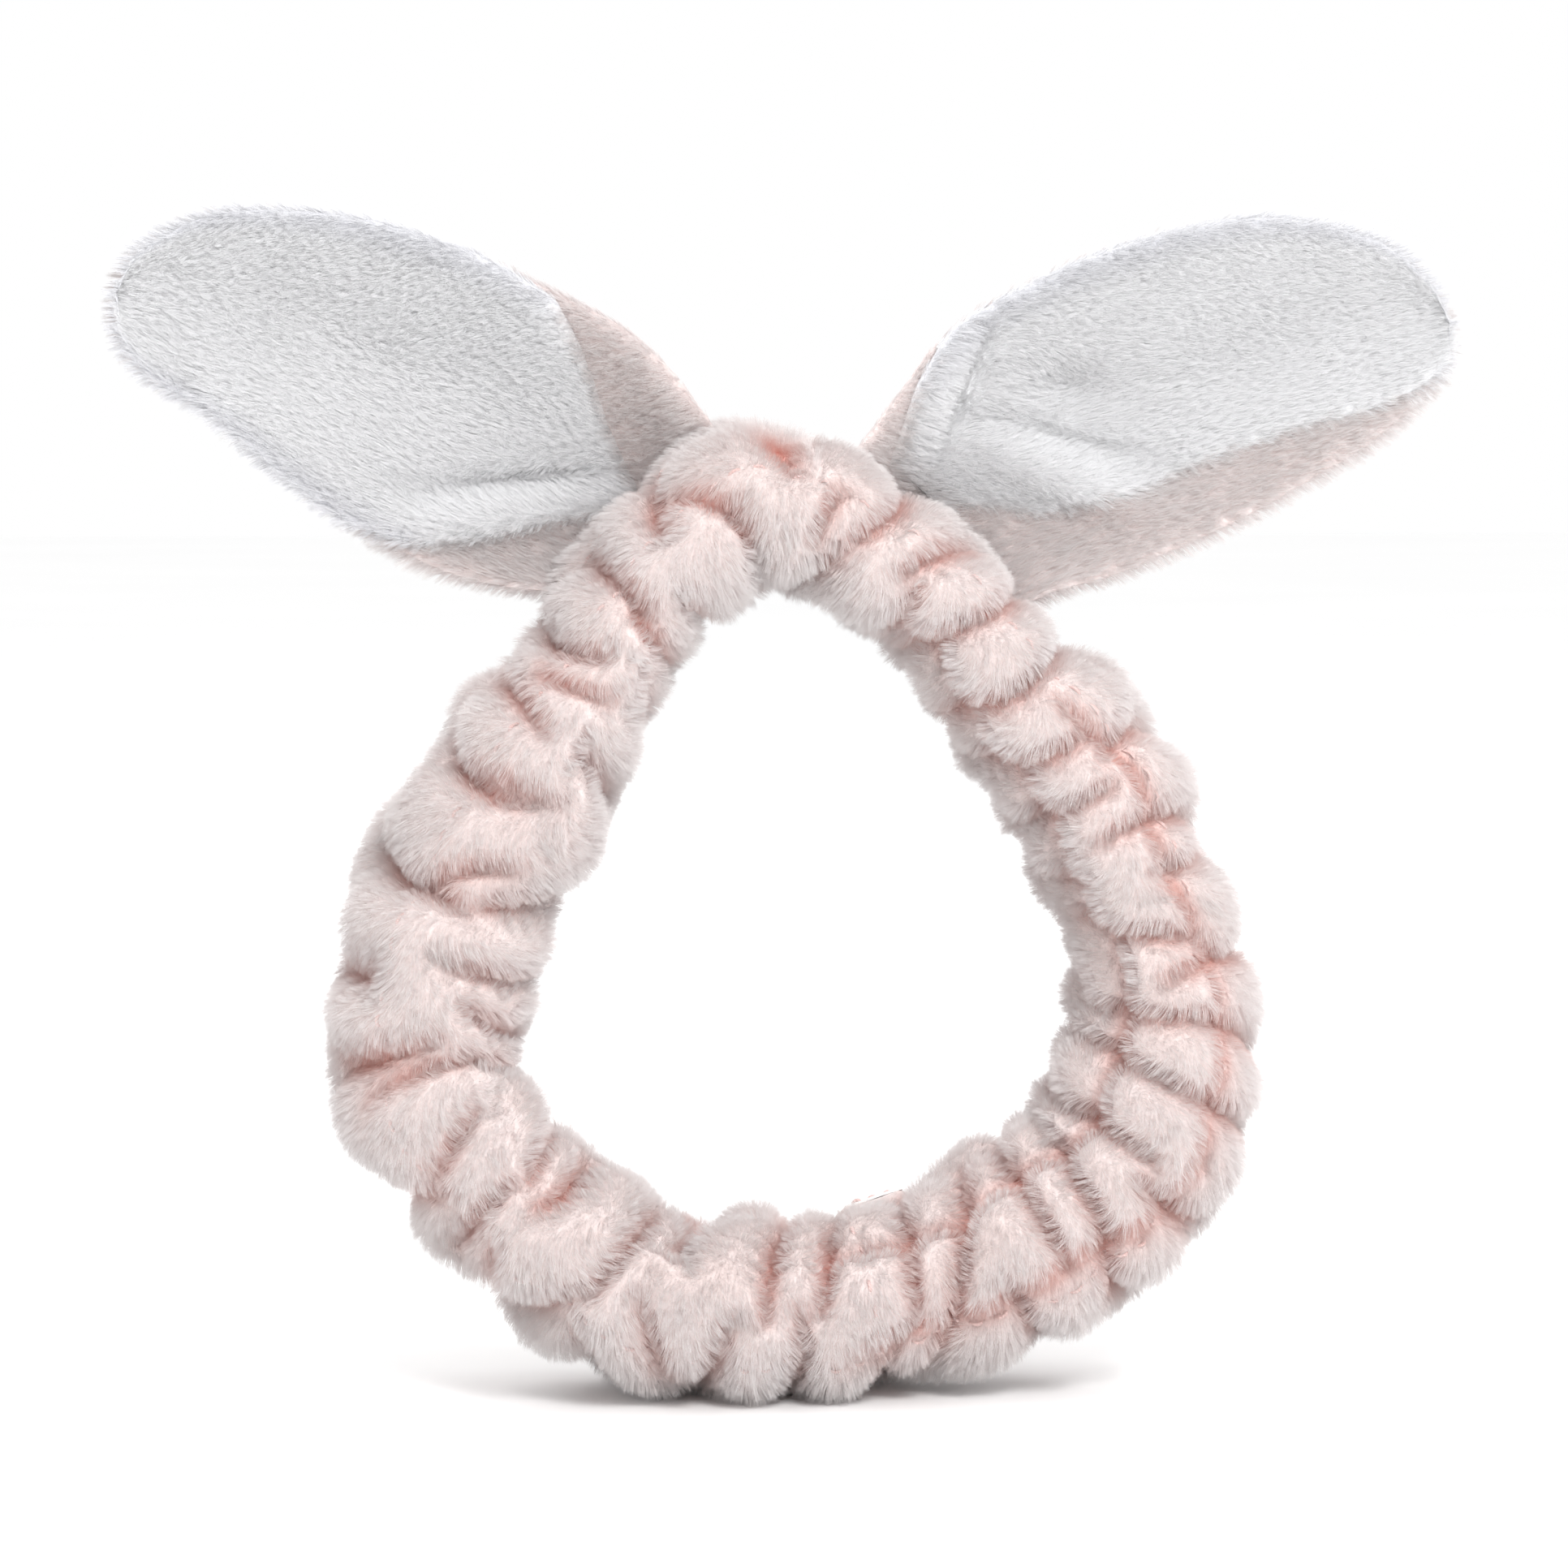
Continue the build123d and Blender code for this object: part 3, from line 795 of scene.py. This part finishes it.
def pile(name, root, tip, painted_shade, painted_shade_tip):
    """The strands: deeper in colour at the root, with painted shade in the creases and along the white ears'
    rims, pale and faintly glossy at the tip.
    """
    material, nodes, links, shader = new_material(name)
    strand = nodes.new("ShaderNodeHairInfo")
    # Painted shade: root and tip darken where the "depth" colour layer is high.
    crease = nodes.new("ShaderNodeAttribute")
    crease.attribute_name = "depth"
    root_colour = mix(nodes, links, crease.outputs["Fac"], root, painted_shade)
    tip_colour = mix(nodes, links, crease.outputs["Fac"], tip, painted_shade_tip)
    shade = spread(nodes, links, strand.outputs["Random"], 0, 2.5)
    colour = mix(nodes, links, strand.outputs["Intercept"], root_colour, tip_colour)
    colour = mix(nodes, links, shade, colour, root_colour)
    links.new(colour, shader.inputs["Base Color"])
    shader.inputs["Roughness"].default_value = 0.4
    shader.inputs["Specular IOR Level"].default_value = 0.5
    return material


def grow_pile(piece, material, strands, length, lean, brushed, seed, density=None, shorter=None):
    """Covers a fleece piece with strands.

    lean is how far a strand slants against how far it stands, in no one direction. brushed is a slant
    that all of them share. density and shorter name vertex groups."""
    piece.data.materials.append(material)
    modifier = piece.modifiers.new("pile", "PARTICLE_SYSTEM")
    system = modifier.particle_system
    system.seed = seed
    if density:
        system.vertex_group_density = density
    if shorter:
        system.vertex_group_length = shorter
    hair = system.settings
    hair.type = "HAIR"
    hair.count = strands
    hair.hair_step = 3
    hair.render_step = 2
    hair.display_step = 2
    reach = length * MM / 4
    hair.hair_length = length * MM
    hair.tangent_factor = lean * reach
    hair.phase_factor_random = 2.0
    hair.factor_random = 0.2 * reach
    hair.object_align_factor = [reach * slant for slant in brushed]
    hair.use_modifier_stack = False
    hair.distribution = "RAND"
    hair.emit_from = "FACE"
    hair.use_even_distribution = True
    hair.child_type = "INTERPOLATED"
    hair.child_percent = hair.rendered_child_count = STRAND_CHILDREN
    hair.clump_factor = 0.4
    hair.clump_shape = 0.3
    hair.child_length = 1.0
    hair.roughness_1 = 0.0003
    hair.roughness_1_size = 0.004
    hair.roughness_2 = 0.0003
    hair.roughness_2_size = 1.0
    hair.roughness_endpoint = 0.0004
    hair.root_radius = 1.0
    hair.tip_radius = 0.35
    hair.radius_scale = 0.045 * MM
    hair.material = len(piece.data.materials)


# ---------------------------------------------------------------- stage


def make_stage(floor_height):
    bpy.ops.mesh.primitive_plane_add(size=12, location=(0, 0, floor_height))
    floor = bpy.context.object
    floor.name = "floor"
    material, nodes, links, shader = new_material("floor_paint")
    grain = noise(nodes, links, 300, 2)
    links.new(mix(nodes, links, grain, (0.97, 0.97, 0.97, 1), (1, 1, 1, 1)), shader.inputs["Base Color"])
    shader.inputs["Roughness"].default_value = 0.9
    floor.data.materials.append(material)
    world = bpy.data.worlds.new("studio")
    bpy.context.scene.world = world
    world.use_nodes = True
    world.node_tree.nodes["Background"].inputs["Color"].default_value = (1, 1, 1, 1)
    world.node_tree.nodes["Background"].inputs["Strength"].default_value = 1.0
    add_light("key", (0.3, -1.3, 1.1), 0.5, 18.0)
    add_light("fill", (0.9, -1.1, 0.4), 1.2, 3.0)
    add_light("back", (-0.2, 1.4, 1.2), 1.0, 9.0)
    bpy.context.scene.view_settings.view_transform = "Standard"


def add_light(name, place, size, power):
    light = bpy.data.lights.new(name, "AREA")
    light.size = size
    light.energy = power
    lamp = bpy.data.objects.new(name, light)
    lamp.location = place
    lamp.rotation_euler = (-Vector(place)).to_track_quat("-Z", "Y").to_euler()
    bpy.context.scene.collection.objects.link(lamp)


def make_camera():
    """Looks from a little left of the front and a little above."""
    azimuth, elevation, distance = math.radians(-6), math.radians(4), 1.1
    target = Vector((-3.7, 0, 23.7)) * MM
    view_width = 297 * MM
    level = math.cos(elevation)
    away = Vector((math.sin(azimuth) * level, -math.cos(azimuth) * level, math.sin(elevation)))
    camera = bpy.data.cameras.new("camera")
    camera.sensor_width = 36
    camera.lens = 36 * distance / view_width
    holder = bpy.data.objects.new("camera", camera)
    holder.location = target + away * distance
    holder.rotation_euler = (-away).to_track_quat("-Z", "Y").to_euler()
    bpy.context.scene.collection.objects.link(holder)
    bpy.context.scene.camera = holder


# ---------------------------------------------------------------- build

# Light and middle colours of each fleece's ground and its painted shade, then root, tip and painted shade at
# root and tip of its pile.
# The pink painted shade lies in the sleeve's creases, the white along the ears' rims.
PINK_GROUND = ((0.76, 0.68, 0.67, 1), (0.74, 0.63, 0.61, 1), (0.70, 0.32, 0.26, 1))
PINK_PILE = ((0.73, 0.66, 0.65, 1), (0.755, 0.745, 0.74, 1), (0.64, 0.30, 0.25, 1), (0.69, 0.46, 0.41, 1))
WHITE_GROUND = ((0.93, 0.93, 0.935, 1), (0.90, 0.90, 0.905, 1), (0.62, 0.62, 0.65, 1))
WHITE_PILE = ((0.86, 0.86, 0.87, 1), (0.97, 0.97, 0.975, 1), (0.78, 0.78, 0.80, 1), (0.84, 0.84, 0.86, 1))

make_camera()
pink_ground = fleece("fleece_pink", *PINK_GROUND)
white_ground = fleece("fleece_white", *WHITE_GROUND)
pink_pile = pile("pile_pink", *PINK_PILE)
white_pile = pile("pile_white", *WHITE_PILE)
pink_thread = threads("thread_pink", (0.84, 0.68, 0.66, 1), (0.72, 0.50, 0.47, 1), 0.4, 0.6)
white_thread = threads("thread_white", (0.90, 0.90, 0.90, 1), (0.78, 0.78, 0.79, 1), 0.4, 0.6)
white_weave = threads("elastic_weave", (0.88, 0.88, 0.86, 1), (0.70, 0.70, 0.68, 1), 0.8, 0.7)
satin = threads("satin_weave", (0.93, 0.92, 0.91, 1), (0.85, 0.84, 0.83, 1), 0.25, 0.4, (1, 0.2, 1), 0.008)
filling_fibre = threads(
    "wadding_fibre", (0.93, 0.93, 0.92, 1), (0.80, 0.80, 0.79, 1), 1.5, 0.95, (1, 1.7, 0.6), 0.6
)


def dress(piece, material, slot, *nodes):
    """Gives a piece its material, and hides the CAD nodes that it stands for. slot is not used."""
    piece.data.materials.clear()
    piece.data.materials.append(material)
    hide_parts(*nodes)


def build_sleeve():
    """Returns the sleeve's path and section, which the other band pieces are laid out on."""
    sleeve, path, section = make_sleeve()
    dress(sleeve, pink_ground, "fleece_pink", "band_sleeve")
    # The crease depth shortens the pile and paints shade into the strands' colour.
    crease_depth = get_attribute(sleeve.data, "crease")
    weigh(sleeve, "length", (1 - 0.55 * crease_depth) * (1 - get_attribute(sleeve.data, "flat")))
    paint_strand_shade(sleeve, crease_depth)
    grow_pile(sleeve, pink_pile, SLEEVE_STRANDS, PILE_LENGTH, 0.5, (0, 0, -0.25), 1, shorter="length")
    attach(sleeve, "band")
    return path, section


def build_elastic(path):
    """The elastic and its second layer at the nape. Returns the loop steps that the lap covers."""
    whole = np.arange(RING_STEPS)
    elastic = make_strip("elastic_strip", path, whole, ELASTIC_LEVEL, ELASTIC_WIDTH, ELASTIC_THICKNESS)
    dress(elastic, white_weave, "elastic", "elastic_loop")
    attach(elastic, "band")
    lap_rows = np.nonzero(np.abs(path["run"] - NAPE_RUN) < LAP_LENGTH / 2)[0]
    lap = make_strip("elastic_lap", path, lap_rows, LAP_LEVEL, ELASTIC_WIDTH, ELASTIC_THICKNESS)
    dress(lap, white_weave, "elastic")
    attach(lap, "band")
    return lap_rows


def build_label(path, section):
    label = make_label(path, section)
    dress(label, satin, "satin", "care_label")
    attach(label, "band")
    return label


def build_band_thread(name, lines, node, **sizes):
    """Stitches that stay with the band."""
    thread = stitch_run(name, lines, **sizes)
    dress(thread, pink_thread, "thread", node)
    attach(thread, "band")


def build_sleeve_seams(path, middle_of_loop):
    long_seam = path["skin"][:, int(np.argmin(np.abs(path["place"] - LONG_SEAM_PLACE)))]
    nape_row = int(np.argmin(np.abs(path["run"] - NAPE_RUN)))
    end_seam = path["skin"][nape_row]
    nape = np.array([path["loop"][nape_row, 0], 0, path["loop"][nape_row, 1]])
    long_away = outward_of(long_seam, middle_of_loop)
    build_band_thread("long_seam_thread", [(long_seam, long_away)], "sleeve_long_seam_stitches")
    build_band_thread("end_seam_thread", [(end_seam, outward_of(end_seam, nape))], "sleeve_end_seam_stitches")


def build_lap_stitches(path, lap_rows):
    lines = []
    for depth in (-7.0, 0.0, 7.0):
        line = np.stack([path["loop"][lap_rows, 0], 0 * lap_rows + depth, path["loop"][lap_rows, 1]], 1)
        inward = -np.stack([path["outward"][lap_rows, 0], 0 * lap_rows, path["outward"][lap_rows, 1]], 1)
        line = line + inward * (-LAP_LEVEL * path["half"][lap_rows][:, None] + ELASTIC_THICKNESS / 2)
        lines.append((line, inward))
    build_band_thread("elastic_lap_thread", lines, "elastic_lap_stitches", pitch=3.6)


def build_label_stitches(label):
    """A short row along the label's edge nearest the front."""
    label_points = vertices(label.data) / MM
    near_edge = label_points[np.argsort(label_points[:, 1])[: 2 * LABEL_ROWS]]
    edge = near_edge[np.argsort(near_edge[:, 0])]
    line = np.stack([edge[2], edge[len(edge) // 2], edge[-3]]) + [0, 1.5, 0.1]
    up = np.tile([0, 0, 1.0], (3, 1))
    build_band_thread("label_thread", [(line, up)], "care_label_stitches", pitch=3.0, length=2.1)


def build_ear(side):
    """One ear: its pieces with their materials and pile. Returns the ear's hinge centre."""
    skin, front, wadding, rim, pleat = make_ear(side)
    centre, along, across, _ = ear_frame(side)
    brushed = 1.1 * along - 0.35 * across
    dress(skin, pink_ground, "fleece_pink", f"{side}_ear_back_panel")
    dress(front, white_ground, "fleece_white", f"{side}_ear_front_panel")
    dress(wadding, filling_fibre, "wadding", f"{side}_ear_wadding")
    dress(rim, white_thread, "thread", f"{side}_ear_rim_stitches")
    dress(pleat, white_thread, "thread", f"{side}_ear_pleat_stitches")
    grow_pile(skin, pink_pile, EAR_STRANDS, EAR_PILE_LENGTH, 0.3, brushed, 3, density="hairy")
    grow_pile(front, white_pile, EAR_STRANDS, EAR_PILE_LENGTH, 0.3, brushed, 4, density="hairy")
    for piece in (skin, front, wadding, rim, pleat):
        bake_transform(piece)
    return centre


def build_tacks(side, centre, path, middle_of_loop):
    """Two rows of stitches on the sleeve where an ear is sewn down."""
    seat = np.linalg.norm(path["loop"] - centre[[0, 2]], axis=1)
    rows = np.nonzero(seat < seat.min() + 6)[0]
    lines = []
    for place in (30.0, 50.0):
        line = path["skin"][rows, int(np.argmin(np.abs(path["place"] - place)))]
        lines.append((line, outward_of(line, middle_of_loop)))
    build_band_thread(f"{side}_ear_tack_thread", lines, f"{side}_ear_tack_stitches")


path, section = build_sleeve()
lap_rows = build_elastic(path)
label = build_label(path, section)
middle_of_loop = np.array([path["loop"][:, 0].mean(), 0, path["loop"][:, 1].mean()])
build_sleeve_seams(path, middle_of_loop)
build_lap_stitches(path, lap_rows)
build_label_stitches(label)
for side in ("left", "right"):
    centre = build_ear(side)
    build_tacks(side, centre, path, middle_of_loop)

visual_low, visual_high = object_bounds()
make_stage(visual_low[2])
